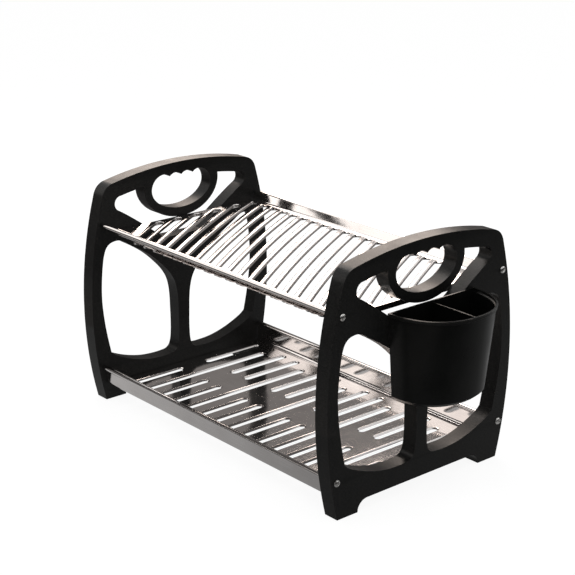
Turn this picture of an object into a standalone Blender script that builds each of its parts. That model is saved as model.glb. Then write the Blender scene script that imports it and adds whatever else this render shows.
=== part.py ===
"""Dish drainer: two slotted steel trays hung on tie rods between moulded side panels, with a cutlery cup.

Metres, +Z up. X runs along the drainer, from the left panel to the right one, and -Y is its front.
"""

import math

import bmesh
import bpy

# Clearances and drawing sizes
touch_gap = 0.0003
cut_overrun = 0.004
weld_distance = 0.00001
round_sides = 12

# Side panels
drainer_length = 0.450
panel_thickness = 0.019
panel_depth = 0.2804
panel_height = 0.290
panel_edge_radius = 0.0020
bulge_height = 0.124
side_radius = 0.496
top_radius = 0.480
top_corner_radius = 0.012
foot_inner_inset = 0.0455
foot_curve_depth = 0.014
rail_underside = 0.0135

# Hand hole in the top of each panel, and the ring that carries it
hand_hole_width = 0.092
hand_hole_bottom = 0.2307
hand_hole_shoulder = 0.258
grip_cusp_height = 0.2730
finger_pitch = 0.018
finger_depth = 0.0037
ring_width = 0.0118
ring_middle_rise = 0.0043

# Crescent opening above the cross member
crescent_margin = 0.020
crescent_reach = 0.102
crescent_end_radius = 0.0095
saddle_height = 0.195
saddle_width = 0.056
crescent_edge_shares = ((0.43, 0.754), (0.60, 0.811))

# Lower openings: shares of half the panel's depth and of its height, round from the outer bottom corner
lower_opening_shares = (
    (0.817, 0.212), (0.863, 0.320), (0.894, 0.445), (0.888, 0.557), (0.856, 0.658), (0.800, 0.699),
    (0.696, 0.706), (0.606, 0.683), (0.360, 0.607), (0.150, 0.505), (0.078, 0.425), (0.062, 0.320),
    (0.061, 0.205), (0.090, 0.143), (0.180, 0.127), (0.400, 0.131), (0.606, 0.157), (0.770, 0.193),
)  # fmt: skip

# Tie rods and screws
rod_radius = 0.00225
rod_inset = 0.008
lower_rod_height = 0.0440
upper_rod_height = 0.2287
screw_radius = 0.0015
screw_grip = 0.010
screw_clearance = 0.0003
screw_head_radius = 0.0042
screw_head_height = 0.0022

# Steel trays
sheet_thickness = 0.0006
roll_start_angle = 220.0
roll_end_angle = -70.0
end_flange_height = 0.006
end_flange_inset = 0.012
lower_floor_height = 0.0213
lower_bend_radius = 0.005
upper_floor_height = 0.2194
upper_bend_radius = 0.0045

# Slots of the upper tray, which hold the plates: diagonal, and slightly bowed
plate_slot_pitch = 0.0195
plate_slot_width = 0.0109
plate_slot_slope = 0.646
plate_slot_bow = 0.0046
plate_slot_end_margin = 0.004
plate_slot_edge_margin = 0.0068
plate_slot_shortest = 0.050
plate_lip_radius = 0.0012
plate_lip_depth = 0.0036

# Slots of the lower tray, which drain the glasses: columns across the tray, each third one unbroken
drain_column_pitch = 0.0265
drain_column_count = 15
drain_slot_width = 0.0070
drain_slot_edge_margin = 0.0106
drain_long_slot_margin = 0.0246
drain_gap = 0.040
drain_lip_width = 0.0028
drain_lip_depth = 0.0016

# Cutlery cup, hooked over the right panel's cross member
cup_height = 0.101
cup_rim_rise = 0.0235
cup_offset = 0.0085
cup_top_width = 0.129
cup_top_reach = 0.0680
cup_base_width = 0.113
cup_base_reach = 0.0575
cup_squareness = 2.3
cup_front_steps = 22
cup_wall = 0.0022
cup_base_round = 0.004
cup_rim_height = 0.003
cup_rim_width = 0.0012
cup_divider_thickness = 0.0020
cup_divider_drop = 0.002
cup_drain_radius = 0.003
cup_drain_shares = ((0.45, 0.22), (0.45, 0.52), (0.78, 0.30))
hook_width = 0.030
hook_thickness = 0.003
hook_lip_drop = 0.010

# Places worked out from the sizes above
half_length = drainer_length / 2
inner_face = half_length - panel_thickness
half_depth = panel_depth / 2
roll_radius = rod_radius + touch_gap + sheet_thickness / 2
tray_half_length = inner_face - touch_gap
cup_back = half_length + touch_gap
cup_top = saddle_height + cup_rim_rise
cup_base = cup_top - cup_height
left_end = -(half_length + touch_gap + screw_head_height)
right_end = cup_back + cup_top_reach + cup_rim_width
middle_shift = -(left_end + right_end) / 2


def clear_scene():
    for found in list(bpy.data.objects):
        bpy.data.objects.remove(found, do_unlink=True)


def new_collection(name, helper=False):
    made = bpy.data.collections.new(name)
    bpy.context.scene.collection.children.link(made)
    made.hide_render = helper
    return made


def material(name, colour, roughness, metallic):
    made = bpy.data.materials.new(name)
    made.use_nodes = True
    shader = made.node_tree.nodes["Principled BSDF"]
    shader.inputs["Base Color"].default_value = (*colour, 1.0)
    shader.inputs["Roughness"].default_value = roughness
    shader.inputs["Metallic"].default_value = metallic
    return made


def add_object(name, data, home, finish=None, parent=None):
    made = bpy.data.objects.new(name, data)
    home.objects.link(made)
    if finish and finish.name not in data.materials:
        data.materials.append(finish)
    made.parent = parent
    return made


def mesh_from(bm, name, smooth_angle=math.radians(35)):
    bmesh.ops.remove_doubles(bm, verts=bm.verts, dist=weld_distance)
    bmesh.ops.recalc_face_normals(bm, faces=bm.faces)
    mesh = bpy.data.meshes.new(name)
    bm.to_mesh(mesh)
    bm.free()
    mesh.shade_smooth()
    mesh.set_sharp_from_angle(angle=smooth_angle)
    return mesh


def add_helper(name, mesh, home, parent):
    made = add_object(name, mesh, home, parent=parent)
    made.hide_render = True
    made.display_type = "WIRE"
    return made


def add_boolean(target, helper, operation):
    modifier = target.modifiers.new(f"{operation.lower()} {helper.name}", "BOOLEAN")
    modifier.operation = operation
    modifier.solver = "EXACT"
    modifier.object = helper


# Outlines in a plane, as lists of (across, up) points


def arc_points(middle, radii, start, end, steps):
    """Points on an ellipse from one angle to another, in degrees."""
    angles = [math.radians(start + (end - start) * i / steps) for i in range(steps + 1)]
    return [(middle[0] + radii[0] * math.cos(a), middle[1] + radii[1] * math.sin(a)) for a in angles]


def smooth_points(points, steps=2):
    """A smooth curve through open points, with its ends left as corners."""
    padded = [points[0], *points, points[-1]]
    made = []
    for before, start, end, after in zip(padded, padded[1:], padded[2:], padded[3:], strict=False):
        for i in range(steps):
            t = i / steps
            weights = (
                (-t + 2 * t**2 - t**3) / 2,
                (2 - 5 * t**2 + 3 * t**3) / 2,
                (t + 4 * t**2 - 3 * t**3) / 2,
                (t**3 - t**2) / 2,
            )
            corners = (before, start, end, after)
            made.append(tuple(sum(w * c[axis] for w, c in zip(weights, corners, strict=True)) for axis in (0, 1)))
    return [*made, points[-1]]


def mirrored(points):
    """The same points on the other side of the middle, in reverse order."""
    return [(-across, up) for across, up in reversed(points)]


def without_repeats(points):
    kept = []
    for point in points:
        if not kept or math.dist(point, kept[-1]) > weld_distance:
            kept.append(point)
    if math.dist(kept[0], kept[-1]) <= weld_distance:
        kept.pop()
    return kept


def half_depth_at(height):
    """Half the panel's depth where its bowed edges pass a height."""
    return half_depth - side_radius + math.sqrt(side_radius**2 - (height - bulge_height) ** 2)


def top_at(across):
    """Height of the panel's arched top edge."""
    return panel_height - top_radius + math.sqrt(top_radius**2 - across**2)


def panel_outline():
    """The whole edge of a side panel, from the middle of its rail round the rear foot to the front one."""
    foot_inner = half_depth - foot_inner_inset
    foot_curve_middle = (foot_inner - foot_curve_depth, 0)
    foot_curve = arc_points(foot_curve_middle, (foot_curve_depth, rail_underside), 90, 0, 5)
    corner_height = panel_height
    for _ in range(20):
        corner_height = top_at(half_depth_at(corner_height))
    corner = (half_depth_at(corner_height), corner_height)
    side_end = corner_height - top_corner_radius
    side_steps = 14
    side = [(half_depth_at(side_end * i / side_steps), side_end * i / side_steps) for i in range(side_steps + 1)]
    top_start = corner[0] - top_corner_radius
    top_steps = 7
    top = [(top_start * (1 - i / top_steps), top_at(top_start * (1 - i / top_steps))) for i in range(top_steps + 1)]
    bend = []
    for i in range(1, 5):
        t = i / 5
        weights = ((1 - t) ** 2, 2 * t * (1 - t), t**2)
        ends = (side[-1], corner, top[0])
        bend.append(tuple(sum(w * e[axis] for w, e in zip(weights, ends, strict=True)) for axis in (0, 1)))
    half = [*foot_curve, *side, *bend, *top]
    return without_repeats(half + mirrored(half))


def lower_opening(side):
    points = [(side * half_depth * across, panel_height * up) for across, up in lower_opening_shares]
    return without_repeats(smooth_points([*points, points[0]]))


def ring_middle():
    return hand_hole_shoulder + ring_middle_rise


def crescent_opening():
    """The opening under the ring: up the saddle, round the tip, and back along the ring."""
    ring_radii = (hand_hole_width / 2 + ring_width, ring_middle() - hand_hole_bottom + ring_width)
    tip_across = crescent_reach - crescent_end_radius
    tip = (tip_across, top_at(tip_across) - crescent_margin - crescent_end_radius)
    tip_round = arc_points(tip, (crescent_end_radius, crescent_end_radius), -52, 80, 7)
    saddle_end = (saddle_width / 2, saddle_height)
    edge = [saddle_end, *((half_depth * across, panel_height * up) for across, up in crescent_edge_shares)]
    lower_edge = smooth_points([*edge, tip_round[0]], 3)
    meeting = ring_radii[0]
    for _ in range(20):
        rise = top_at(meeting) - crescent_margin - ring_middle()
        meeting = ring_radii[0] * math.sqrt(max(0, 1 - (rise / ring_radii[1]) ** 2))
    meeting_angle = math.degrees(math.asin(min(1, rise / ring_radii[1])))
    upper_steps = 4
    upper_edge = []
    for i in range(upper_steps):
        across = tip_across + (meeting - tip_across) * i / upper_steps
        upper_edge.append((across, top_at(across) - crescent_margin))
    ring = arc_points((0, ring_middle()), ring_radii, meeting_angle, -90, 11)
    half = [*lower_edge, *tip_round, *upper_edge, *ring]
    return without_repeats(half + mirrored(half))


def hand_hole():
    """An oval hole whose top has four finger hollows."""
    half_width = hand_hole_width / 2
    lower = arc_points((0, hand_hole_shoulder), (half_width, hand_hole_shoulder - hand_hole_bottom), -90, 0, 9)
    outer_finger = 1.5 * finger_pitch
    finger_top = grip_cusp_height + finger_depth
    corner_radii = (half_width - outer_finger, finger_top - hand_hole_shoulder)
    corner = arc_points((outer_finger, hand_hole_shoulder), corner_radii, 0, 90, 6)
    finger_radius = (finger_depth**2 + (finger_pitch / 2) ** 2) / (2 * finger_depth)
    spread = math.degrees(math.asin(finger_pitch / 2 / finger_radius))
    radii = (finger_radius, finger_radius)
    outer = arc_points((outer_finger, finger_top - finger_radius), radii, 90, 90 + spread, 3)
    inner = arc_points((finger_pitch / 2, finger_top - finger_radius), radii, 90 - spread, 90 + spread, 5)
    half = [*lower, *corner, *outer, *inner]
    return without_repeats(half + mirrored(half))


def plate_from_outlines(name, outlines, thickness):
    """A flat plate with holes: a filled 2D curve, made into a welded mesh so that it can be cut."""
    curve = bpy.data.curves.new(name, "CURVE")
    curve.dimensions = "2D"
    curve.fill_mode = "BOTH"
    curve.extrude = thickness / 2
    for outline in outlines:
        spline = curve.splines.new("POLY")
        spline.points.add(len(outline) - 1)
        for point, (across, up) in zip(spline.points, outline, strict=True):
            point.co = (across, up, 0, 1)
        spline.use_cyclic_u = True
    drawn = bpy.data.objects.new(name, curve)
    bpy.context.scene.collection.objects.link(drawn)
    bpy.context.view_layer.update()
    evaluated = drawn.evaluated_get(bpy.context.evaluated_depsgraph_get())
    filled = bpy.data.meshes.new_from_object(evaluated)
    bm = bmesh.new()
    bm.from_mesh(filled)
    bpy.data.objects.remove(drawn)
    bpy.data.meshes.remove(filled)
    bpy.data.curves.remove(curve)
    return mesh_from(bm, name)


def cylinder_mesh(name, radius, length, places):
    """Cylinders along X, one at each (y, z) place."""
    bm = bmesh.new()
    for across, up in places:
        made = bmesh.ops.create_cone(
            bm, cap_ends=True, segments=round_sides, radius1=radius, radius2=radius, depth=length
        )
        for vert in made["verts"]:
            x, y, z = vert.co
            vert.co = (z, x + across, y + up)
    return mesh_from(bm, name)


def rod_places():
    """Name and (y, z) of each tie rod's axis."""
    made = {}
    for level, height in (("lower", lower_rod_height), ("upper", upper_rod_height)):
        across = half_depth_at(height) - rod_inset
        made[f"{level}_front"] = (-across, height)
        made[f"{level}_rear"] = (across, height)
    return made


def add_side_panels(home, helpers, root, finish):
    """Two alike panels on edge, each drilled for four screws."""
    outlines = [panel_outline(), hand_hole(), crescent_opening(), lower_opening(1), lower_opening(-1)]
    mesh = plate_from_outlines("side_panel", outlines, panel_thickness)
    drill_length = panel_thickness + 2 * cut_overrun
    drill_mesh = cylinder_mesh("panel_drill", screw_radius + screw_clearance, drill_length, rod_places().values())
    for name, side in (("left_side_panel", -1), ("right_side_panel", 1)):
        middle = side * (half_length - panel_thickness / 2)
        panel = add_object(name, mesh, home, finish, root)
        panel.rotation_euler = (math.radians(90), 0, math.radians(90))
        panel.location = (middle, 0, 0)
        bevel = panel.modifiers.new("edge rounding", "BEVEL")
        bevel.width = panel_edge_radius
        bevel.segments = 1
        bevel.limit_method = "ANGLE"
        bevel.angle_limit = math.radians(60)
        drill = add_helper(f"{name}_drill", drill_mesh, helpers, root)
        drill.location = (middle, 0, 0)
        add_boolean(panel, drill, "DIFFERENCE")


def add_turned(name, mesh, home, finish, parent):
    """A profile turned round its own Z axis."""
    made = add_object(name, mesh, home, finish, parent)
    screw = made.modifiers.new("turning", "SCREW")
    screw.axis = "Z"
    screw.steps = round_sides
    screw.render_steps = round_sides
    screw.use_merge_vertices = True
    screw.merge_threshold = weld_distance
    screw.use_smooth_shade = True
    return made


def profile_mesh(name, profile):
    """A (radius, height) profile that runs down the outer side, as edges in the XZ plane."""
    bm = bmesh.new()
    verts = [bm.verts.new((radius, 0, up)) for radius, up in profile]
    for pair in zip(verts, verts[1:], strict=False):
        bm.edges.new(pair)
    mesh = bpy.data.meshes.new(name)
    bm.to_mesh(mesh)
    bm.free()
    return mesh


def add_tie_rods(home, root, finish):
    """Four rods with a blind tapped hole in each end."""
    half = tray_half_length
    bore = screw_radius + screw_clearance
    bore_end = half - screw_grip - screw_clearance
    top = [(0, bore_end), (bore, bore_end), (bore, half), (rod_radius, half)]
    profile = top + [(radius, -up) for radius, up in reversed(top)]
    mesh = profile_mesh("tie_rod", profile)
    for name, (across, up) in rod_places().items():
        rod = add_turned(f"tie_rod_{name}", mesh, home, finish, root)
        rod.location = (0, across, up)
        rod.rotation_euler = (0, math.radians(90), 0)


def add_screws(home, root, finish):
    """Round-headed screws, from outside each panel into the ends of the rods."""
    tip = -(panel_thickness + screw_grip)
    seat = touch_gap
    dome = arc_points((0, seat), (screw_head_radius, screw_head_height), 90, 0, 4)
    profile = [*dome, (screw_radius, seat), (screw_radius, tip), (0, tip)]
    profile[0] = (0, seat + screw_head_height)
    mesh = profile_mesh("screw", profile)
    for side_name, side in (("left", -1), ("right", 1)):
        for name, (across, up) in rod_places().items():
            screw = add_turned(f"screw_{side_name}_{name}", mesh, home, finish, root)
            screw.location = (side * half_length, across, up)
            screw.rotation_euler = (0, side * math.radians(90), 0)


# Sheet metal: one open surface for each tray, thickened at the end


def slot_outline(centre_line, half_width):
    """A closed outline round a centre line, with round ends, as (x, y) points."""
    start, end = centre_line[0], centre_line[-1]
    sides = ([], [])
    count = len(centre_line)
    directions = []
    for i in range(count):
        before = centre_line[max(0, i - 1)]
        after = centre_line[min(count - 1, i + 1)]
        directions.append(math.atan2(after[1] - before[1], after[0] - before[0]))
    for (x, y), direction in zip(centre_line, directions, strict=True):
        for points, turn in zip(sides, (-90, 90), strict=True):
            angle = direction + math.radians(turn)
            points.append((x + half_width * math.cos(angle), y + half_width * math.sin(angle)))
    end_angle = math.degrees(directions[-1])
    start_angle = math.degrees(directions[0])
    radii = (half_width, half_width)
    end_round = arc_points(end, radii, end_angle - 90, end_angle + 90, 4)
    start_round = arc_points(start, radii, start_angle + 90, start_angle + 270, 4)
    return [*sides[0][1:-1], *end_round, *reversed(sides[1][1:-1]), *start_round]


def add_loop(bm, outline, height):
    verts = [bm.verts.new((x, y, height)) for x, y in outline]
    return [bm.edges.new((vert, verts[i - 1])) for i, vert in enumerate(verts)]


def sweep_edges(bm, edges, moves):
    """Draws edges along a path, given as the (y, z) move of each step."""
    for across, up in moves:
        made = bmesh.ops.extrude_edge_only(bm, edges=edges)["geom"]
        verts = [part for part in made if isinstance(part, bmesh.types.BMVert)]
        edges = [part for part in made if isinstance(part, bmesh.types.BMEdge) and not part.is_manifold]
        edges = [edge for edge in edges if all(vert in verts for vert in edge.verts)]
        bmesh.ops.translate(bm, verts=verts, vec=(0, across, up))


def wall_place(rod_place):
    """Distance of a tray's wall from the middle: it meets the roll a little below the rod, and so leaves a crease."""
    return rod_place[0] + roll_radius * math.cos(math.radians(roll_start_angle))


def rim_path(floor_edge, floor_height, bend_radius, rod_place):
    """(y, z) points of a tray's rear wall: floor edge, bend, wall, and the roll inwards over the rod."""
    bend_middle = (floor_edge, floor_height + bend_radius)
    bend = arc_points(bend_middle, (bend_radius, bend_radius), -90, 0, 5)
    roll = arc_points(rod_place, (roll_radius, roll_radius), roll_start_angle, roll_end_angle, 12)
    return bend + roll


def add_tray(name, home, root, finish, floor_height, bend_radius, rod_place, slots):
    """A pressed pan: slotted floor, front and rear walls rolled over their rods, and turned-down ends.

    Each slot is a list of rings, from the floor to the lip's foot, as (outline, drop below the floor).
    """
    floor_edge = wall_place(rod_place) - bend_radius
    flange_end = floor_edge - end_flange_inset
    bend_out = sheet_thickness
    floor_end = tray_half_length - sheet_thickness / 2 - bend_out
    bm = bmesh.new()
    corners = []
    for side in (-1, 1):
        stops = (floor_edge, flange_end, -flange_end, -floor_edge)
        corners += [(side * floor_end, -side * stop) for stop in stops]
    border = add_loop(bm, corners, floor_height)
    rings = [[add_loop(bm, outline, floor_height - drop) for outline, drop in slot] for slot in slots]
    bmesh.ops.triangle_fill(bm, use_beauty=True, edges=border + [edge for slot in rings for edge in slot[0]])
    for slot in rings:
        for upper, lower in zip(slot, slot[1:], strict=False):
            bmesh.ops.bridge_loops(bm, edges=upper + lower)
    path = rim_path(floor_edge, floor_height, bend_radius, rod_place)
    moves = [(b[0] - a[0], b[1] - a[1]) for a, b in zip(path, path[1:], strict=False)]
    for side in (-1, 1):
        sides = [edge for edge in border if all(side * vert.co.y > flange_end + weld_distance for vert in edge.verts)]
        long_edges = [edge for edge in sides if abs(edge.verts[0].co.x - edge.verts[1].co.x) > floor_end]
        sweep_edges(bm, long_edges, [(side * across, up) for across, up in moves])
    for side in (-1, 1):
        ends = [
            edge
            for edge in border
            if all(side * vert.co.x > 0 and abs(vert.co.y) < flange_end + weld_distance for vert in edge.verts)
        ]
        made = bmesh.ops.extrude_edge_only(bm, edges=ends)["geom"]
        verts = [part for part in made if isinstance(part, bmesh.types.BMVert)]
        bmesh.ops.translate(bm, verts=verts, vec=(side * bend_out, 0, -bend_out))
        edges = [part for part in made if isinstance(part, bmesh.types.BMEdge)]
        edges = [edge for edge in edges if all(vert in verts for vert in edge.verts)]
        made = bmesh.ops.extrude_edge_only(bm, edges=edges)["geom"]
        verts = [part for part in made if isinstance(part, bmesh.types.BMVert)]
        bmesh.ops.translate(bm, verts=verts, vec=(0, 0, bend_out - end_flange_height))
    tray = add_object(name, mesh_from(bm, name), home, finish, root)
    solidify = tray.modifiers.new("sheet", "SOLIDIFY")
    solidify.thickness = sheet_thickness
    solidify.offset = 0
    solidify.use_even_offset = True
    return tray


def plate_slots(floor_half_width):
    """Rings of the diagonal slots that fill the upper tray's floor."""
    field_y = floor_half_width - plate_slot_edge_margin
    field_x = tray_half_length - plate_slot_end_margin - plate_slot_width / 2
    last = int((field_x + plate_slot_slope * field_y) / plate_slot_pitch)
    made = []
    for number in range(-last - 1, last + 1):
        middle = (number + 0.5) * plate_slot_pitch
        ends = []
        for side in (-1, 1):
            end = side * field_y
            for _ in range(20):
                bow = plate_slot_bow * (end / field_y) ** 2
                end = side * min(field_y, side * (middle + bow + side * field_x) / plate_slot_slope)
            ends.append(end)
        if ends[1] - ends[0] < plate_slot_shortest:
            continue
        steps = 4
        line = []
        for i in range(steps + 1):
            y = ends[0] + (ends[1] - ends[0]) * i / steps
            bow = plate_slot_bow * (y / field_y) ** 2
            line.append((middle - plate_slot_slope * y + bow, y))
        half_width = plate_slot_width / 2
        wide = slot_outline(line, half_width + plate_lip_radius)
        narrow = slot_outline(line, half_width)
        made.append([(wide, 0), (narrow, plate_lip_radius), (narrow, plate_lip_depth)])
    return made


def drain_slots(floor_half_width):
    """Rings of the lower tray's slots: every third column is one long slot, the others are two short ones."""
    far = floor_half_width - drain_slot_edge_margin
    long_end = floor_half_width - drain_long_slot_margin
    near = drain_gap / 2
    made = []
    for number in range(drain_column_count):
        x = (number - (drain_column_count - 1) / 2) * drain_column_pitch
        runs = [(-long_end, long_end)] if number % 3 == 1 else [(-far, -near), (near, far)]
        for start, end in runs:
            half_width = drain_slot_width / 2
            line = [(x, start + half_width), (x, end - half_width)]
            wide = slot_outline(line, half_width + drain_lip_width)
            narrow = slot_outline(line, half_width)
            made.append([(wide, 0), (narrow, drain_lip_depth)])
    return made


def add_trays(home, root, finish):
    places = rod_places()
    lower_wall = wall_place(places["lower_rear"])
    upper_wall = wall_place(places["upper_rear"])
    add_tray(
        "lower_tray", home, root, finish, lower_floor_height, lower_bend_radius,
        places["lower_rear"], drain_slots(lower_wall - lower_bend_radius),
    )  # fmt: skip
    add_tray(
        "upper_tray", home, root, finish, upper_floor_height, upper_bend_radius,
        places["upper_rear"], plate_slots(upper_wall - upper_bend_radius),
    )  # fmt: skip


# Cutlery cup


def cup_outline(width, reach):
    """A flat back against the panel and a bowed front, as (x, y) points."""
    made = []
    for i in range(cup_front_steps + 1):
        angle = math.pi * i / cup_front_steps - math.pi / 2
        across = math.copysign(abs(math.sin(angle)) ** (2 / cup_squareness), math.sin(angle))
        out = abs(math.cos(angle)) ** (2 / cup_squareness)
        made.append((cup_back + cup_wall / 2 + (reach - cup_wall / 2) * out, cup_offset + width / 2 * across))
    return made


def cup_size_at(height):
    """Width and reach of the tapering cup, on the middle of its wall."""
    share = (height - cup_base) / cup_height
    width = cup_base_width + (cup_top_width - cup_base_width) * share
    reach = cup_base_reach + (cup_top_reach - cup_base_reach) * share
    return width - cup_wall, reach - cup_wall / 2


def cup_shell():
    """The cup's wall and base as one open surface, with a narrow band round the rim."""
    levels = [
        (cup_base + cup_wall / 2, cup_base_round),
        (cup_base + cup_wall / 2 + cup_base_round, 0),
        (cup_top - cup_rim_height - cup_rim_width, 0),
        (cup_top - cup_rim_height, -cup_rim_width),
        (cup_top, -cup_rim_width),
    ]
    bm = bmesh.new()
    loops = []
    for height, inset in levels:
        width, reach = cup_size_at(height)
        loops.append(add_loop(bm, cup_outline(width - 2 * inset, reach - inset), height))
    bmesh.ops.triangle_fill(bm, use_beauty=True, edges=loops[0])
    for lower, upper in zip(loops, loops[1:], strict=False):
        bmesh.ops.bridge_loops(bm, edges=lower + upper)
    return mesh_from(bm, "cutlery_cup")


def cup_divider():
    """A web across the cup's middle, which ends inside its walls."""
    floor = cup_base + cup_wall / 2
    top = cup_top - cup_divider_drop
    half = cup_divider_thickness / 2
    outline = [(cup_back + cup_wall / 2, floor)]
    for height, step in ((floor, cup_base_round), (floor + cup_base_round, 0), (top, 0)):
        outline.append((cup_back + cup_size_at(height)[1] - step, height))
    outline.append((cup_back + cup_wall / 2, top))
    bm = bmesh.new()
    verts = [bm.verts.new((x, cup_offset - half, z)) for x, z in outline]
    face = bm.faces.new(verts)
    made = bmesh.ops.extrude_face_region(bm, geom=[face])["geom"]
    moved = [part for part in made if isinstance(part, bmesh.types.BMVert)]
    bmesh.ops.translate(bm, verts=moved, vec=(0, cup_divider_thickness, 0))
    return mesh_from(bm, "cup_divider")


def cup_hook():
    """A bridge through the crescent opening, with a lip down behind the cross member."""
    seat = saddle_height + touch_gap
    behind = inner_face - touch_gap
    bm = bmesh.new()
    outline = [
        (cup_back + cup_wall / 2, seat),
        (behind, seat),
        (behind, seat - hook_lip_drop),
        (behind - hook_thickness, seat - hook_lip_drop),
        (behind - hook_thickness, seat + hook_thickness),
        (cup_back + cup_wall / 2, seat + hook_thickness),
    ]
    verts = [bm.verts.new((x, cup_offset - hook_width / 2, z)) for x, z in outline]
    made = bmesh.ops.extrude_face_region(bm, geom=[bm.faces.new(verts)])["geom"]
    moved = [part for part in made if isinstance(part, bmesh.types.BMVert)]
    bmesh.ops.translate(bm, verts=moved, vec=(0, hook_width, 0))
    return mesh_from(bm, "cup_hook")


def cup_drains():
    """Cutters for the holes in the cup's base."""
    bm = bmesh.new()
    for side in (-1, 1):
        for across, out in cup_drain_shares:
            made = bmesh.ops.create_cone(
                bm, cap_ends=True, segments=8, radius1=cup_drain_radius,
                radius2=cup_drain_radius, depth=2 * cut_overrun,
            )  # fmt: skip
            x = cup_back + out * cup_base_reach
            y = cup_offset + side * across * cup_base_width / 2
            bmesh.ops.translate(bm, verts=made["verts"], vec=(x, y, cup_base))
    return mesh_from(bm, "cup_drains")


def add_cup(home, helpers, root, finish):
    cup = add_object("cutlery_cup", cup_shell(), home, finish, root)
    solidify = cup.modifiers.new("wall", "SOLIDIFY")
    solidify.thickness = cup_wall
    solidify.offset = 0
    solidify.use_even_offset = True
    add_boolean(cup, add_helper("cup_divider", cup_divider(), helpers, root), "UNION")
    add_boolean(cup, add_helper("cup_hook", cup_hook(), helpers, root), "UNION")
    add_boolean(cup, add_helper("cup_drains", cup_drains(), helpers, root), "DIFFERENCE")


def main():
    clear_scene()
    home = new_collection("dish_drainer")
    helpers = new_collection("dish_drainer_cutters", helper=True)
    root = bpy.data.objects.new("dish_drainer", None)
    home.objects.link(root)
    root.location = (middle_shift, 0, 0)
    black = material("black_plastic", (0.012, 0.012, 0.012), 0.42, 0.0)
    steel = material("stainless_steel", (0.58, 0.55, 0.53), 0.28, 1.0)
    nickel = material("screw_steel", (0.72, 0.71, 0.69), 0.22, 1.0)
    add_side_panels(home, helpers, root, black)
    add_tie_rods(home, root, steel)
    add_screws(home, root, nickel)
    add_trays(home, root, steel)
    add_cup(home, helpers, root, black)


main()
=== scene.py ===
"""Looks of the dish drainer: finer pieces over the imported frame, materials, light and camera. Metres, +Z up."""

import math

import bmesh
import bpy
from mathutils import Matrix, Vector


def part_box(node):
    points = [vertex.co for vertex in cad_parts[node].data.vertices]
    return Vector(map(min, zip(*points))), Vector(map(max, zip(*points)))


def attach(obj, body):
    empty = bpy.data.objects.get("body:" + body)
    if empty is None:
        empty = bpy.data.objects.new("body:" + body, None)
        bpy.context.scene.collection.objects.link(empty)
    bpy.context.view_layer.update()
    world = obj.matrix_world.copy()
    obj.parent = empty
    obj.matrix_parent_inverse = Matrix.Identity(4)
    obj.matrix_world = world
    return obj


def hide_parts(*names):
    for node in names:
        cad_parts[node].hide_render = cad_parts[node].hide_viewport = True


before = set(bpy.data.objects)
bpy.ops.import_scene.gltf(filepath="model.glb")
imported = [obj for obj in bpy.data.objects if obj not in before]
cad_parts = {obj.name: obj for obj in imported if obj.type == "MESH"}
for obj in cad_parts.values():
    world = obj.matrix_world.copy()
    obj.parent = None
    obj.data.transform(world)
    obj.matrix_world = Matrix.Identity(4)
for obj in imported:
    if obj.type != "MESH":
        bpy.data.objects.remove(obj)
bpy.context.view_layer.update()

# Camera: the photograph's viewpoint, as position and the three axes of its frame
camera_place = (1.2536, -1.1114, 0.7546)
camera_right = (0.65245, 0.75783, 0.00312)
camera_up = (-0.24613, 0.20801, 0.94665)
camera_forward = (-0.71675, 0.61841, -0.32224)
camera_lens = 95.2
camera_sensor = 36.0
camera_nearest = 0.05

# Colours, as (darkest, palest) where a piece is mottled
plastic_tones = ((0.0028, 0.0030, 0.0028), (0.0052, 0.0054, 0.0051))
plastic_worn_tone = (0.026, 0.025, 0.024)
plastic_ior = 1.26
steel_tones = ((0.68, 0.645, 0.63), (0.85, 0.82, 0.805))
steel_stretch = (5, 420, 420)
steel_hair_share = 2.6
screw_tones = ((0.62, 0.61, 0.59), (0.78, 0.77, 0.75))
# Painted shade: the darker base colour that the screw's cross recess gets
screw_recess_painted_shade_tone = (0.16, 0.155, 0.15)

# All meshes
sharp_angle = math.radians(38)
weld_distance = 0.00001
flat_face_weight = 100

# Screws
screw_sides = 40
screw_dome_steps = 8
screw_head_height = 0.0022
screw_shank_radius = 0.0015
screw_sharp_angle = math.radians(34)
cross_half_length = 0.0024
cross_half_width = 0.00052
cross_inner_share = 1.6
cross_depth = 0.0013
cross_floor_share = 0.42
cross_mouth_share = 1.5
cross_turns = (12, 57, 33, 80, 21, 66, 5, 48)

# Side panels, with smoother outlines and rounded edges
outline_steps = 4
outline_corner = math.radians(34)
edge_segments = 4
edge_angle = math.radians(60)
straight_share = 2.5
screw_hole_radius = 0.0018

# Trays: slots as in the solids but with rounder lips, and an upper tray whose walls lean outwards, in degrees
sheet_thickness = 0.0006
roll_radius = 0.00285
roll_start_angle = 220.0
roll_end_angle = -70.0
roll_steps = 44
bend_steps = 12
lip_steps = 6
slot_end_steps = 10
end_flange_height = 0.006
end_flange_inset = 0.012
end_flange_back = 1.5 * sheet_thickness
lower_floor_height = 0.0213
lower_bend_radius = 0.005
upper_floor_height = 0.2194
upper_bend_radius = 0.0045
upper_wall_lean = 22
plate_slot_pitch = 0.0195
plate_slot_width = 0.0109
plate_slot_slope = 0.646
plate_slot_bow = 0.0046
plate_slot_end_margin = 0.004
plate_slot_edge_margin = 0.0068
plate_slot_shortest = 0.050
plate_slot_steps = 12
plate_slot_rounds = 20
plate_lip_radius = 0.0012
plate_lip_roundness = 0.0024
plate_lip_depth = 0.0036
drain_column_pitch = 0.0265
drain_column_count = 15
drain_column_group = 3
drain_slot_width = 0.0070
drain_slot_edge_margin = 0.0106
drain_long_slot_margin = 0.0246
drain_gap = 0.040
drain_lip_width = 0.0028
drain_lip_depth = 0.0016
drain_lip_power = 1.8

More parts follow.
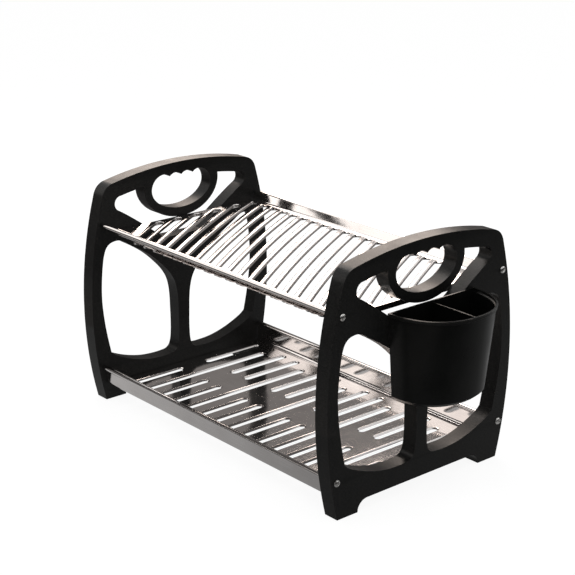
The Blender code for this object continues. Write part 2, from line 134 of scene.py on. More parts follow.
# Floor and sky. Each range is (from low, from high, to low, to high)
floor_half = 9.0
floor_drop = 0.0002
floor_tone = (0.80, 0.80, 0.80)
floor_roughness = 0.9
floor_near_range = (-0.45, 0.10, 0.06, 0.46)
floor_far_range = (0.20, 0.55, 1, 0.5)
floor_fade_range = (0.80, 1.20, 1, 0.08)
background_share = 0.80
background_level = 1.14
world_level = 0.50
bright_side = (-0.757, 0.653, 0)
sky_side_range = (-0.9, 0.3, 0.40, 1.0)
sky_rise_range = (0.25, 0.31, 0.03, 1)
sky_top_range = (0.62, 0.97, 1, 0.40)

# Cards that only gloss shows
card_tone = (1, 0.94, 0.91)
low_backdrop_distance = 0.33
low_backdrop_height = 0.275
low_backdrop_half = 1.6
low_backdrop_range = (0.02, 0.08, 0.02, 0.21)
flag_height = 0.10
flag_half = 0.60
flag_near = -0.125
flag_far = -0.235
flag_levels = (0.08, 0.32)
plates_card_height = 0.212
plates_card_half = 0.20
plates_card_near = -0.118
plates_card_far = 0.118
plates_card_level = 0.10

# Lamps, and the soft boxes that gloss shows: name, place, size, level and tone
key_place = (-0.95, 0.69, 0.88)
key_aim = (0, 0, 0.20)
key_size = (0.9, 0.9)
key_power = 5.5
top_place = (0.2, -0.5, 2.2)
top_aim = (0, 0, 0.15)
top_size = (2.0, 2.0)
top_power = 14
softboxes = (
    ("softbox_rear", key_place, key_size, 5.0, (1, 0.87, 0.78)),
    ("softbox_front", (-1.15, -0.95, 0.85), (1.3, 0.75), 1.5, (1, 0.955, 0.92)),
    ("softbox_left", (-0.96, 0.24, 1.355), (0.5, 0.5), 6.0, (1, 0.955, 0.92)),
)


# Node materials


def new_material(name):
    made = bpy.data.materials.new(name)
    made.use_nodes = True
    tree = made.node_tree
    return made, tree, tree.nodes["Principled BSDF"]


def link(tree, source, target):
    tree.links.new(source, target)


def feed(tree, value, socket):
    """Links the socket to another socket, or sets it to a plain value."""
    if isinstance(value, bpy.types.NodeSocket):
        link(tree, value, socket)
    else:
        socket.default_value = value


def noise(tree, vector, scale, detail, roughness=0.55):
    node = tree.nodes.new("ShaderNodeTexNoise")
    node.inputs["Scale"].default_value = scale
    node.inputs["Detail"].default_value = detail
    node.inputs["Roughness"].default_value = roughness
    link(tree, vector, node.inputs["Vector"])
    return node.outputs["Fac"]


def stretched(tree, vector, scale):
    node = tree.nodes.new("ShaderNodeMapping")
    node.inputs["Scale"].default_value = scale
    link(tree, vector, node.inputs["Vector"])
    return node.outputs["Vector"]


def remap(tree, value, low, high, to_low, to_high):
    node = tree.nodes.new("ShaderNodeMapRange")
    for name, number in (("From Min", low), ("From Max", high), ("To Min", to_low), ("To Max", to_high)):
        node.inputs[name].default_value = number
    link(tree, value, node.inputs["Value"])
    return node.outputs["Result"]


def maths(tree, operation, first, second):
    node = tree.nodes.new("ShaderNodeMath")
    node.operation = operation
    for socket, value in zip(node.inputs, (first, second), strict=False):
        feed(tree, value, socket)
    return node.outputs[0]


def colour_between(tree, factor, first, second):
    node = tree.nodes.new("ShaderNodeMix")
    node.data_type = "RGBA"
    link(tree, factor, node.inputs["Factor"])
    for socket, value in ((node.inputs["A"], first), (node.inputs["B"], second)):
        feed(tree, (*value, 1) if isinstance(value, tuple) else value, socket)
    return node.outputs["Result"]


def bump(tree, height, strength, distance, normal=None):
    node = tree.nodes.new("ShaderNodeBump")
    node.inputs["Strength"].default_value = strength
    node.inputs["Distance"].default_value = distance
    link(tree, height, node.inputs["Height"])
    if normal is not None:
        link(tree, normal, node.inputs["Normal"])
    return node.outputs["Normal"]


def object_vector(tree):
    return tree.nodes.new("ShaderNodeTexCoord").outputs["Object"]


def edge_wear_and_recess_shade(tree, low, high):
    """From pointiness: near 1 on the outer edges of a piece and near 0 elsewhere; with low above high, near 1 in
    hollows instead, which paints shade into recesses.
    """
    pointiness = tree.nodes.new("ShaderNodeNewGeometry").outputs["Pointiness"]
    return remap(tree, pointiness, low, high, 0, 1)


def black_plastic():
    """Satin moulded plastic: fine grain, uneven gloss, faint flow marks and slightly paler edges."""
    made, tree, shader = new_material("black_plastic_satin")
    place = object_vector(tree)
    grain = noise(tree, place, 2600, 2)
    cloud = noise(tree, place, 38, 4)
    flow = noise(tree, stretched(tree, place, (9, 26, 9)), 4, 3)
    tone = maths(tree, "ADD", maths(tree, "MULTIPLY", cloud, 0.6), maths(tree, "MULTIPLY", flow, 0.4))
    base = colour_between(tree, remap(tree, tone, 0.35, 0.65, 0, 1), *plastic_tones)
    scuffs = noise(tree, stretched(tree, place, (60, 60, 320)), 6, 5, 0.7)
    worn = maths(tree, "MULTIPLY", edge_wear_and_recess_shade(tree, 0.52, 0.60), remap(tree, scuffs, 0.45, 0.70, 0.1, 1))
    link(tree, colour_between(tree, worn, base, plastic_worn_tone), shader.inputs["Base Color"])
    gloss = remap(tree, cloud, 0.3, 0.7, 0.27, 0.37)
    link(tree, maths(tree, "ADD", gloss, remap(tree, scuffs, 0.55, 0.75, 0, 0.09)), shader.inputs["Roughness"])
    shader.inputs["IOR"].default_value = plastic_ior
    coarse = bump(tree, cloud, 0.10, 0.0004)
    link(tree, bump(tree, grain, 0.22, 0.00006, coarse), shader.inputs["Normal"])
    return made


def stainless_steel():
    """Bright rolled sheet: fine streaks along the rolling direction, soft waves and smudges."""
    made, tree, shader = new_material("stainless_steel_sheet")
    place = object_vector(tree)
    streak = noise(tree, stretched(tree, place, steel_stretch), 5, 6, 0.62)
    hair = noise(tree, stretched(tree, place, tuple(steel_hair_share * value for value in steel_stretch)), 9, 3)
    cloud = noise(tree, place, 22, 4)
    smudge = noise(tree, place, 70, 5, 0.65)
    tone = maths(tree, "ADD", maths(tree, "MULTIPLY", streak, 0.55), maths(tree, "MULTIPLY", cloud, 0.45))
    base = colour_between(tree, remap(tree, tone, 0.32, 0.68, 0, 1), *steel_tones)
    link(tree, base, shader.inputs["Base Color"])
    shader.inputs["Metallic"].default_value = 1
    gloss = remap(tree, streak, 0.25, 0.75, 0.06, 0.14)
    link(tree, maths(tree, "ADD", gloss, remap(tree, smudge, 0.5, 0.8, 0, 0.08)), shader.inputs["Roughness"])
    waves = bump(tree, noise(tree, place, 26, 2), 0.10, 0.0012)
    link(tree, bump(tree, hair, 0.10, 0.00004, waves), shader.inputs["Normal"])
    return made


def screw_steel():
    """Bright plated screw: turned marks, small pits and painted shade in the recess, as a darker base colour there."""
    made, tree, shader = new_material("screw_steel_plated")
    place = object_vector(tree)
    pits = noise(tree, place, 1500, 4, 0.6)
    cloud = noise(tree, place, 260, 3)
    base = colour_between(tree, remap(tree, cloud, 0.35, 0.65, 0, 1), *screw_tones)
    # Painted shade: low pointiness in the cross recess darkens the base colour there
    recess_painted_shade = edge_wear_and_recess_shade(tree, 0.47, 0.42)
    link(tree, colour_between(tree, recess_painted_shade, base, screw_recess_painted_shade_tone), shader.inputs["Base Color"])
    shader.inputs["Metallic"].default_value = 1
    link(tree, remap(tree, pits, 0.3, 0.7, 0.12, 0.26), shader.inputs["Roughness"])
    link(tree, bump(tree, pits, 0.14, 0.00003), shader.inputs["Normal"])
    return made


# Pieces


def new_object(name, data):
    made = bpy.data.objects.new(name, data)
    bpy.context.scene.collection.objects.link(made)
    return made


def evaluated_mesh(item):
    """The mesh that the object's modifiers give. The object itself is removed."""
    graph = bpy.context.evaluated_depsgraph_get()
    made = bpy.data.meshes.new_from_object(item.evaluated_get(graph), depsgraph=graph)
    bpy.data.objects.remove(item)
    return made


def add_piece(name, mesh, body, finish, node):
    """A piece in place of the frame's node."""
    made = new_object(name, mesh)
    mesh.materials.clear()
    mesh.materials.append(finish)
    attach(made, body)
    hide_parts(node)


def joined_mesh(node, name):
    """The node's surface with its triangles joined and round ones shaded smooth, flat faces keeping flat normals."""
    bm = bmesh.new()
    bm.from_mesh(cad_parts[node].data)
    bmesh.ops.remove_doubles(bm, verts=bm.verts, dist=weld_distance)
    bmesh.ops.dissolve_degenerate(bm, dist=weld_distance, edges=bm.edges)
    for face in bm.faces:
        face.smooth = True
    for edge in bm.edges:
        edge.smooth = not (edge.is_manifold and edge.calc_face_angle(math.pi) > sharp_angle)
    mesh = bpy.data.meshes.new(name)
    bm.to_mesh(mesh)
    bm.free()
    return weighted(mesh)


def weighted(mesh):
    """The mesh with normals that follow its large faces, so flat sheet stays flat beside a rounded edge."""
    holder = new_object(mesh.name, mesh)
    normals = holder.modifiers.new("normals", "WEIGHTED_NORMAL")
    normals.keep_sharp = True
    normals.weight = flat_face_weight
    return evaluated_mesh(holder)


def panel_outlines(node):
    """The (y, z) outlines of a panel's edge walls, and how far its edges are cut back."""
    low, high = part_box(node)
    bm = bmesh.new()
    bm.from_mesh(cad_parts[node].data)
    bmesh.ops.remove_doubles(bm, verts=bm.verts, dist=weld_distance)
    wall_x = max(vert.co.x for vert in bm.verts if vert.co.x < high.x - 10 * weld_distance)
    at_wall = {vert for vert in bm.verts if abs(vert.co.x - wall_x) < weld_distance}
    beside = {vert: [] for vert in at_wall}
    for edge in bm.edges:
        first, second = edge.verts
        if first in at_wall and second in at_wall:
            beside[first].append(second)
            beside[second].append(first)
    outlines = []
    while at_wall:
        vert = min(at_wall, key=lambda item: item.index)
        outline = []
        while vert is not None:
            at_wall.discard(vert)
            outline.append(Vector((vert.co.y, vert.co.z)))
            vert = next((other for other in beside[vert] if other in at_wall), None)
        outlines.append(outline)
    bm.free()
    return outlines, high.x - wall_x


def refined(outline, low, high):
    """The outline with smooth curves between its points, but for its sharp corners."""
    count = len(outline)
    chords = [outline[(i + 1) % count] - outline[i] for i in range(count)]
    tangents = []
    for i in range(count):
        before, after = chords[i - 1], chords[i]
        if before.angle(after) > outline_corner:
            tangents.append(None)
        elif max(before.length, after.length) > straight_share * min(before.length, after.length):
            tangents.append(max(before, after, key=lambda chord: chord.length).normalized())
        else:
            bend = before.normalized() * after.length + after.normalized() * before.length
            tangents.append(bend.normalized())
    made = []
    for i, chord in enumerate(chords):
        start = (tangents[i] or chord.normalized()) * chord.length
        end = (tangents[(i + 1) % count] or chord.normalized()) * chord.length
        for step in range(outline_steps):
            t = step / outline_steps
            point = (2 * t**3 - 3 * t**2 + 1) * outline[i] + (3 * t**2 - 2 * t**3) * outline[(i + 1) % count]
            point += (t**3 - 2 * t**2 + t) * start + (t**3 - t**2) * end
            made.append((min(max(point.x, low.y), high.y), min(max(point.y, low.z), high.z)))
    return made


def panel_mesh(node):
    """The node's panel with smooth outlines, rounded edges and its screw holes."""
    low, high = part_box(node)
    outlines, cut_back = panel_outlines(node)
    curve = bpy.data.curves.new(node, "CURVE")
    curve.dimensions = "2D"
    curve.fill_mode = "BOTH"
    curve.extrude = (high.x - low.x) / 2
    for outline in outlines:
        points = refined(outline, low, high)
        spline = curve.splines.new("POLY")
        spline.points.add(len(points) - 1)
        for point, (across, up) in zip(spline.points, points, strict=True):
            point.co = (across, up, 0, 1)
        spline.use_cyclic_u = True
    filled = evaluated_mesh(new_object(node, curve))
    bm = bmesh.new()
    bm.from_mesh(filled)
    bmesh.ops.remove_doubles(bm, verts=bm.verts, dist=weld_distance)
    bmesh.ops.recalc_face_normals(bm, faces=bm.faces)
    bm.to_mesh(filled)
    bm.free()
    holder = new_object(node, filled)
    bevel = holder.modifiers.new("edge rounding", "BEVEL")
    bevel.width = cut_back
    bevel.segments = edge_segments
    bevel.limit_method = "ANGLE"
    bevel.angle_limit = edge_angle
    rounded = evaluated_mesh(holder)
    middle = Matrix.Translation(((low.x + high.x) / 2, 0, 0))
    rounded.transform(middle @ Matrix(((0, 0, 1, 0), (1, 0, 0, 0), (0, 1, 0, 0), (0, 0, 0, 1))))
    solid, cutter = bmesh.new(), bmesh.new()
    solid.from_mesh(rounded)
    for rod in (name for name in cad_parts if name.startswith("tie_rod")):
        rod_low, rod_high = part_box(rod)
        place = Vector(((low.x + high.x) / 2, (rod_low.y + rod_high.y) / 2, (rod_low.z + rod_high.z) / 2))
        turn = Matrix.Translation(place) @ Matrix.Rotation(math.radians(90), 4, "Y")
        bmesh.ops.create_cone(
            cutter, cap_ends=True, segments=screw_sides, radius1=screw_hole_radius, radius2=screw_hole_radius,
            depth=2 * (high.x - low.x), matrix=turn,
        )
    made = carved(solid, cutter, node)
    smooth(made, sharp_angle)
    return weighted(made)


def arc_points(middle, radius, start, end, steps):
    made = []
    for i in range(steps + 1):
        angle = math.radians(start + (end - start) * i / steps)
        made.append((middle[0] + radius * math.cos(angle), middle[1] + radius * math.sin(angle)))
    return made


def slot_outline(centre_line, half_width):
    """A closed outline round a centre line, with round ends."""
    sides = ([], [])
    count = len(centre_line)
    directions = []
    for i in range(count):
        before, after = centre_line[max(0, i - 1)], centre_line[min(count - 1, i + 1)]
        directions.append(math.atan2(after[1] - before[1], after[0] - before[0]))
    for (x, y), direction in zip(centre_line, directions, strict=True):
        for points, turn in zip(sides, (-90, 90), strict=True):
            angle = direction + math.radians(turn)
            points.append((x + half_width * math.cos(angle), y + half_width * math.sin(angle)))
    ends = [math.degrees(directions[i]) for i in (-1, 0)]
    last = arc_points(centre_line[-1], half_width, ends[0] - 90, ends[0] + 90, slot_end_steps)
    first = arc_points(centre_line[0], half_width, ends[1] + 90, ends[1] + 270, slot_end_steps)
    return [*sides[0][1:-1], *last, *reversed(sides[1][1:-1]), *first]


def shortened(line, cut):
    """The line with both its end points drawn back along it."""
    ends = []
    for end, inner in ((line[0], line[1]), (line[-1], line[-2])):
        away = Vector(inner) - Vector(end)
        ends.append(tuple(Vector(end) + away.normalized() * cut))
    return [ends[0], *line[1:-1], ends[1]]


def plate_slots(floor_half_width, half_length):
    """Rings of the diagonal slots: from the floor over a round edge to the lip's foot."""
    field_y = floor_half_width - plate_slot_edge_margin
    field_x = half_length - plate_slot_end_margin - plate_slot_width / 2
    last = int((field_x + plate_slot_slope * field_y) / plate_slot_pitch)
    made = []
    for number in range(-last - 1, last + 1):
        middle = (number + 0.5) * plate_slot_pitch
        ends = []
        for side in (-1, 1):
            end = side * field_y
            for _ in range(plate_slot_rounds):
                bow = plate_slot_bow * (end / field_y) ** 2
                end = side * min(field_y, side * (middle + bow + side * field_x) / plate_slot_slope)
            ends.append(end)
        if ends[1] - ends[0] < plate_slot_shortest:
            continue
        line = []
        for i in range(plate_slot_steps + 1):
            y = ends[0] + (ends[1] - ends[0]) * i / plate_slot_steps
            line.append((middle - plate_slot_slope * y + plate_slot_bow * (y / field_y) ** 2, y))
        rings = []
        for i in range(lip_steps + 1):
            turn = math.pi / 2 * i / lip_steps
            share = 1 - math.sin(turn)
            back = share * (plate_lip_roundness - plate_lip_radius)
            outline = slot_outline(shortened(line, back), plate_slot_width / 2 + share * plate_lip_roundness)
            rings.append((outline, plate_lip_radius * (1 - math.cos(turn))))
        made.append([*rings, (rings[-1][0], plate_lip_depth)])
    return made


def drain_slots(floor_half_width, _):
    """Rings of the lower tray's slots, which sink towards their openings in a soft curve."""
    far = floor_half_width - drain_slot_edge_margin
    long_end = floor_half_width - drain_long_slot_margin
    near = drain_gap / 2
    made = []
    for number in range(drain_column_count):
        x = (number - (drain_column_count - 1) / 2) * drain_column_pitch
        runs = [(-long_end, long_end)] if number % drain_column_group == 1 else [(-far, -near), (near, far)]
        for start, end in runs:
            half_width = drain_slot_width / 2
            line = [(x, start + half_width), (x, end - half_width)]
            rings = []
            for i in range(lip_steps + 1):
                share = i / lip_steps
                outline = slot_outline(line, half_width + drain_lip_width * (1 - share))
                rings.append((outline, drain_lip_depth * share**drain_lip_power))
            made.append(rings)
    return made


def add_loop(bm, outline, height):
    verts = [bm.verts.new((x, y, height)) for x, y in outline]
    return [bm.edges.new((vert, verts[i - 1])) for i, vert in enumerate(verts)]


def sweep_edges(bm, edges, moves):
    """Draws edges along a path, given as the move of each step."""
    for move in moves:
        made = bmesh.ops.extrude_edge_only(bm, edges=edges)["geom"]
        verts = [part for part in made if isinstance(part, bmesh.types.BMVert)]
        edges = [part for part in made if isinstance(part, bmesh.types.BMEdge)]
        edges = [edge for edge in edges if all(vert in verts for vert in edge.verts)]
        bmesh.ops.translate(bm, verts=verts, vec=move)


def tray_mesh(node, rod, floor_height, bend_radius, lean, slots_of):
    """The node's pan as one open surface, thickened: slotted floor, walls rolled over their rods, ends turned down."""
    low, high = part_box(node)
    half_length = (high.x - low.x) / 2
    rod_low, rod_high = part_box(rod)
    rod_place = ((rod_low.y + rod_high.y) / 2, (rod_low.z + rod_high.z) / 2)
    solid_edge = rod_place[0] + roll_radius * math.cos(math.radians(roll_start_angle)) - bend_radius
    flange_end = solid_edge - end_flange_inset
    roll = arc_points(rod_place, roll_radius, 180 - lean if lean else roll_start_angle, roll_end_angle, roll_steps)
    slope = math.radians(90 - lean)
    wall_height = roll[0][1] - floor_height - bend_radius * (1 - math.cos(slope))
    floor_edge = roll[0][0] - bend_radius * math.sin(slope) - wall_height / math.tan(slope)
    floor_end = half_length - end_flange_back
    bm = bmesh.new()
    corners = []
    for side in (-1, 1):
        corners += [(side * floor_end, -side * stop) for stop in (floor_edge, flange_end, -flange_end, -floor_edge)]
    border = add_loop(bm, corners, floor_height)
    slots = slots_of(solid_edge, half_length)
    rings = [[add_loop(bm, outline, floor_height - drop) for outline, drop in slot] for slot in slots]
    bmesh.ops.triangle_fill(bm, use_beauty=True, edges=border + [edge for slot in rings for edge in slot[0]])
    for slot in rings:
        for upper, lower in zip(slot, slot[1:], strict=False):
            bmesh.ops.bridge_loops(bm, edges=upper + lower)
    path = arc_points((floor_edge, floor_height + bend_radius), bend_radius, -90, -lean, bend_steps) + roll
    moves = [(b[0] - a[0], b[1] - a[1]) for a, b in zip(path, path[1:], strict=False)]
    for side in (-1, 1):
        long_edges = [
            edge for edge in border
            if all(side * vert.co.y > flange_end + weld_distance for vert in edge.verts)
            and abs(edge.verts[0].co.x - edge.verts[1].co.x) > floor_end
        ]
        sweep_edges(bm, long_edges, [(0, side * across, up) for across, up in moves])
    for side in (-1, 1):
        ends = [
            edge for edge in border
            if all(side * vert.co.x > 0 and abs(vert.co.y) < flange_end + weld_distance for vert in edge.verts)
        ]
        turn = [(side * sheet_thickness, 0, -sheet_thickness), (0, 0, sheet_thickness - end_flange_height)]
        sweep_edges(bm, ends, turn)
    bmesh.ops.translate(bm, verts=bm.verts, vec=((low.x + high.x) / 2, 0, 0))
    bmesh.ops.recalc_face_normals(bm, faces=bm.faces)
    mesh = bpy.data.meshes.new(node)
    bm.to_mesh(mesh)
    bm.free()
    holder = new_object(node, mesh)
    solidify = holder.modifiers.new("sheet", "SOLIDIFY")
    solidify.thickness = sheet_thickness
    solidify.offset = 0
    solidify.use_even_offset = True
    made = evaluated_mesh(holder)
    smooth(made, sharp_angle)
    return weighted(made)


def smooth(mesh, angle):
    for polygon in mesh.polygons:
        polygon.use_smooth = True
    mesh.set_sharp_from_angle(angle=angle)


def lathe(profile, sides):
    """A (radius, height) profile turned round Z, closed at both ends on the axis."""
    bm = bmesh.new()
    rings = []
    for radius, up in profile:
        if radius < weld_distance:
            rings.append([bm.verts.new((0, 0, up))])
        else:
            angles = [2 * math.pi * i / sides for i in range(sides)]
            rings.append([bm.verts.new((radius * math.cos(a), radius * math.sin(a), up)) for a in angles])
    for upper, lower in zip(rings, rings[1:], strict=False):
        for i in range(sides):
            j = (i + 1) % sides
            corners = [upper[i % len(upper)], lower[i % len(lower)], lower[j % len(lower)], upper[j % len(upper)]]
            bm.faces.new(list(dict.fromkeys(corners)))
    bmesh.ops.recalc_face_normals(bm, faces=bm.faces)
    return bm


def carved(solid, cutter, name):
    """The solid's mesh with the cutter's taken out of it."""
    made = []
    for label, bm in (("solid", solid), ("cutter", cutter)):
        mesh = bpy.data.meshes.new(label)
        bm.to_mesh(mesh)
        bm.free()
        made.append(new_object(label, mesh))
    block, tool = made
    boolean = block.modifiers.new("carving", "BOOLEAN")
    boolean.operation = "DIFFERENCE"
    boolean.solver = "EXACT"
    boolean.object = tool
    mesh = evaluated_mesh(block)
    mesh.name = name
    bpy.data.objects.remove(tool)
    return mesh


def cross_cutter():
    """A cross that narrows downwards, from above the head to the recess's floor."""
    long, wide = cross_half_length, cross_half_width
    inner = cross_inner_share * wide
    arm = ((long, wide), (inner, inner), (wide, long))
    outline = []
    for quarter in range(4):
        turn = Matrix.Rotation(math.radians(90 * quarter), 2)
        outline += [turn @ Vector(point) for point in arm]
    bm = bmesh.new()
    rings = []
    for up, share in ((-cross_depth, cross_floor_share), (0, 1), (cross_depth, cross_mouth_share)):
        rings.append([bm.verts.new((share * x, share * y, up)) for x, y in outline])
    for lower, upper in zip(rings, rings[1:], strict=False):
        for i in range(len(outline)):
            j = (i + 1) % len(outline)
            bm.faces.new((lower[i], lower[j], upper[j], upper[i]))
    bm.faces.new(list(reversed(rings[0])))
    bm.faces.new(rings[-1])
    bmesh.ops.recalc_face_normals(bm, faces=bm.faces)
    return bm


def screw_mesh(node):
    """A round-headed screw with a cross recess, as long as the node and with its head at +Z."""
    low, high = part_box(node)
    head_radius = (high.y - low.y) / 2
    length = high.x - low.x
    profile = [(0, 0)]
    for i in range(1, screw_dome_steps + 1):
        angle = math.pi / 2 * i / screw_dome_steps
        profile.append((head_radius * math.sin(angle), -screw_head_height * (1 - math.cos(angle))))
    profile += [(screw_shank_radius, -screw_head_height), (screw_shank_radius, -length), (0, -length)]
    mesh = carved(lathe(profile, screw_sides), cross_cutter(), "cross_screw")
    smooth(mesh, screw_sharp_angle)
    return mesh


def add_screws(finish):
    mesh = screw_mesh("screw_right_upper_front")
    names = sorted(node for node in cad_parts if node.startswith("screw_"))
    for name, turn in zip(names, cross_turns, strict=True):
        low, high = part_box(name)
        side = 1 if "right" in name else -1
        head = Vector((high.x if side > 0 else low.x, (low.y + high.y) / 2, (low.z + high.z) / 2))
        spin = Matrix.Rotation(math.radians(turn), 4, "Z")
        placed = mesh.copy()
        placed.transform(Matrix.Translation(head) @ Matrix.Rotation(side * math.radians(90), 4, "Y") @ spin)
        add_piece(name + "_cross", placed, "rack", finish, name)


# Floor, lights and camera


def along_bright_side(tree, vector):
    """How far a place or direction lies towards the bright side of the studio."""
    node = tree.nodes.new("ShaderNodeVectorMath")
    node.operation = "DOT_PRODUCT"
    link(tree, vector, node.inputs[0])
    node.inputs[1].default_value = bright_side
    return node.outputs["Value"]


def mirrored_ray(tree, path):
    """1 for what metal and glass show."""
    return maths(tree, "MAXIMUM", path.outputs["Is Glossy Ray"], path.outputs["Is Transmission Ray"])


def plane(name, corners):
    bm = bmesh.new()
    bm.faces.new([bm.verts.new(corner) for corner in corners])
    mesh = bpy.data.meshes.new(name)
    bm.to_mesh(mesh)
    bm.free()
    made = new_object(name, mesh)
    return made


def add_floor():
    """White to the camera but for the object's shadow, and paler towards the bright side in metal."""
    corners = ((-1, -1), (1, -1), (1, 1), (-1, 1))
    floor = plane("floor", [(floor_half * x, floor_half * y, -floor_drop) for x, y in corners])
    made, tree, shader = new_material("floor_white")
    shader.inputs["Base Color"].default_value = (*floor_tone, 1)
    shader.inputs["Roughness"].default_value = floor_roughness
    shader.inputs["Specular IOR Level"].default_value = 0
    path = tree.nodes.new("ShaderNodeLightPath")
    mirrored = mirrored_ray(tree, path)
    along = along_bright_side(tree, object_vector(tree))
    near = maths(tree, "MULTIPLY", remap(tree, along, *floor_near_range), remap(tree, along, *floor_far_range))
    length = tree.nodes.new("ShaderNodeVectorMath")
    length.operation = "LENGTH"
    link(tree, object_vector(tree), length.inputs[0])
    depth = maths(tree, "MULTIPLY", near, remap(tree, length.outputs["Value"], *floor_fade_range))
    white = tree.nodes.new("ShaderNodeEmission")
    strength = tree.nodes.new("ShaderNodeMix")
    link(tree, mirrored, strength.inputs["Factor"])
    strength.inputs["A"].default_value = background_level
    link(tree, depth, strength.inputs["B"])
    link(tree, strength.outputs["Result"], white.inputs["Strength"])
    mix = tree.nodes.new("ShaderNodeMixShader")
    seen = maths(tree, "MULTIPLY", path.outputs["Is Camera Ray"], background_share)
    link(tree, maths(tree, "MAXIMUM", seen, mirrored), mix.inputs[0])
    link(tree, shader.outputs[0], mix.inputs[1])
    link(tree, white.outputs[0], mix.inputs[2])
    link(tree, mix.outputs[0], tree.nodes["Material Output"].inputs["Surface"])
    floor.data.materials.append(made)


def add_card(name, corners, finish, tone=card_tone):
    """A glowing sheet that only gloss shows. Gives its node tree and its glow, whose strength is still to be set."""
    sheet = plane(name, corners)
    made, tree, _ = new_material(finish)
    made.cycles.emission_sampling = "NONE"
    glow = tree.nodes.new("ShaderNodeEmission")
    glow.inputs["Color"].default_value = (*tone, 1)
    link(tree, glow.outputs[0], tree.nodes["Material Output"].inputs["Surface"])
    sheet.data.materials.append(made)
    for kind in ("camera", "diffuse", "shadow", "transmission", "volume_scatter"):
        setattr(sheet, "visible_" + kind, False)
    return tree, glow


def add_softbox(name, place, size, level, tone):
    """A warm white sheet, aimed at the drainer."""
    turn = (Vector(key_aim) - Vector(place)).to_track_quat("-Z", "Y").to_matrix()
    across, up = (value / 2 for value in size)
    outline = ((-across, -up), (across, -up), (across, up), (-across, up))
    _, glow = add_card(name, [Vector(place) + turn @ Vector((x, y, 0)) for x, y in outline], name + "_white", tone)
    glow.inputs["Strength"].default_value = level


def add_low_backdrop():
    """The dim foot of the backdrop, for the lower tray's reflections."""
    out, across = Vector(bright_side), Vector((bright_side[1], -bright_side[0], 0))
    foot = out * low_backdrop_distance
    outline = ((-1, 0), (1, 0), (1, low_backdrop_height), (-1, low_backdrop_height))
    corners = [foot + across * side * low_backdrop_half + Vector((0, 0, up)) for side, up in outline]
    tree, glow = add_card("low_backdrop", corners, "backdrop_grey")
    split = tree.nodes.new("ShaderNodeSeparateXYZ")
    link(tree, object_vector(tree), split.inputs[0])
    link(tree, remap(tree, split.outputs["Z"], *low_backdrop_range), glow.inputs["Strength"])


def level_corners(half, near, far, height):
    return [(x, y, height) for x, y in ((-half, near), (half, near), (half, far), (-half, far))]


def seen_from_back(tree):
    return tree.nodes.new("ShaderNodeNewGeometry").outputs["Backfacing"]


def add_front_flag():
    """A strip before the trays, dark below for the lower tray's rim and paler above for the upper one's wall."""
    corners = level_corners(flag_half, flag_near, flag_far, flag_height)
    tree, glow = add_card("front_flag", corners, "flag_grey")
    link(tree, remap(tree, seen_from_back(tree), 0, 1, *flag_levels), glow.inputs["Strength"])


def add_plates_card():
    """Stands for the photo's plates: dark from below, so that the lower tray mirrors no sky through the slots."""
    corners = level_corners(plates_card_half, plates_card_near, plates_card_far, plates_card_height)
    tree, glow = add_card("plates_card", corners, "plates_dark")
    glow.inputs["Strength"].default_value = plates_card_level
    clear = tree.nodes.new("ShaderNodeBsdfTransparent")
    blend = tree.nodes.new("ShaderNodeMixShader")
    for socket, value in zip(blend.inputs, (seen_from_back(tree), clear.outputs[0], glow.outputs[0]), strict=True):
        link(tree, value, socket)
    link(tree, blend.outputs[0], tree.nodes["Material Output"].inputs["Surface"])


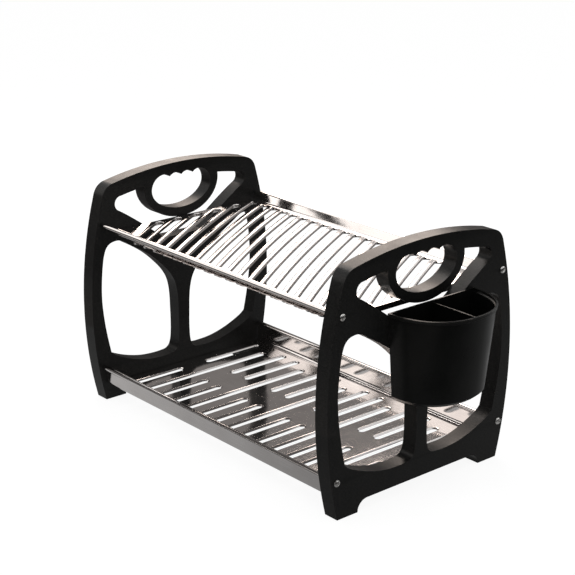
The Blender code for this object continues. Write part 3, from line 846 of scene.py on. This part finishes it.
def add_world():
    world = bpy.data.worlds.new("studio")
    bpy.context.scene.world = world
    world.use_nodes = True
    tree = world.node_tree
    light = tree.nodes["Background"]
    light.inputs["Color"].default_value = (1, 1, 1, 1)
    path = tree.nodes.new("ShaderNodeLightPath")
    direction = tree.nodes.new("ShaderNodeTexCoord").outputs["Generated"]
    split = tree.nodes.new("ShaderNodeSeparateXYZ")
    link(tree, direction, split.inputs[0])
    sky = remap(tree, along_bright_side(tree, direction), *sky_side_range)
    rise = remap(tree, split.outputs["Z"], *sky_rise_range)
    top = remap(tree, split.outputs["Z"], *sky_top_range)
    mirrored = maths(tree, "MULTIPLY", maths(tree, "MULTIPLY", sky, rise), top)
    other = remap(tree, path.outputs["Is Camera Ray"], 0, 1, world_level, 1)
    strength = tree.nodes.new("ShaderNodeMix")
    link(tree, mirrored_ray(tree, path), strength.inputs["Factor"])
    link(tree, other, strength.inputs["A"])
    link(tree, mirrored, strength.inputs["B"])
    link(tree, strength.outputs["Result"], light.inputs["Strength"])


def add_lamp(name, place, aim, size, power):
    data = bpy.data.lights.new(name, "AREA")
    data.shape = "RECTANGLE"
    data.size, data.size_y = size
    data.energy = power
    lamp = new_object(name, data)
    lamp.visible_camera = False
    direction = Vector(aim) - Vector(place)
    lamp.matrix_world = Matrix.Translation(place) @ direction.to_track_quat("-Z", "Y").to_matrix().to_4x4()
    return lamp


def add_camera():
    data = bpy.data.cameras.new("camera")
    data.lens = camera_lens
    data.sensor_width = camera_sensor
    data.sensor_fit = "HORIZONTAL"
    data.clip_start = camera_nearest
    camera = new_object("camera", data)
    columns = [Vector(camera_right), Vector(camera_up), -Vector(camera_forward)]
    turn = Matrix([list(row) for row in columns]).transposed()
    camera.matrix_world = Matrix.Translation(camera_place) @ turn.to_4x4()
    bpy.context.scene.camera = camera


add_camera()
plastic = black_plastic()
steel = stainless_steel()
for node in ("left_side_panel", "right_side_panel"):
    add_piece(node + "_moulding", panel_mesh(node), "rack", plastic, node)
add_piece("cutlery_cup_moulding", joined_mesh("cutlery_cup", "cup"), "cup", plastic, "cutlery_cup")
trays = (
    ("upper_tray", "tie_rod_upper_rear", upper_floor_height, upper_bend_radius, upper_wall_lean, plate_slots),
    ("lower_tray", "tie_rod_lower_rear", lower_floor_height, lower_bend_radius, 0, drain_slots),
)
for node, *shape in trays:
    add_piece(node + "_pressing", tray_mesh(node, *shape), "rack", steel, node)
for node in ("tie_rod_upper_front", "tie_rod_upper_rear", "tie_rod_lower_front", "tie_rod_lower_rear"):
    add_piece(node + "_rod", joined_mesh(node, node), "rack", steel, node)
add_screws(screw_steel())
add_floor()
add_low_backdrop()
add_front_flag()
add_plates_card()
for softbox in softboxes:
    add_softbox(*softbox)
add_world()
add_lamp("key", key_place, key_aim, key_size, key_power).visible_glossy = False
add_lamp("top", top_place, top_aim, top_size, top_power)

bpy.context.scene.view_settings.view_transform = "Standard"
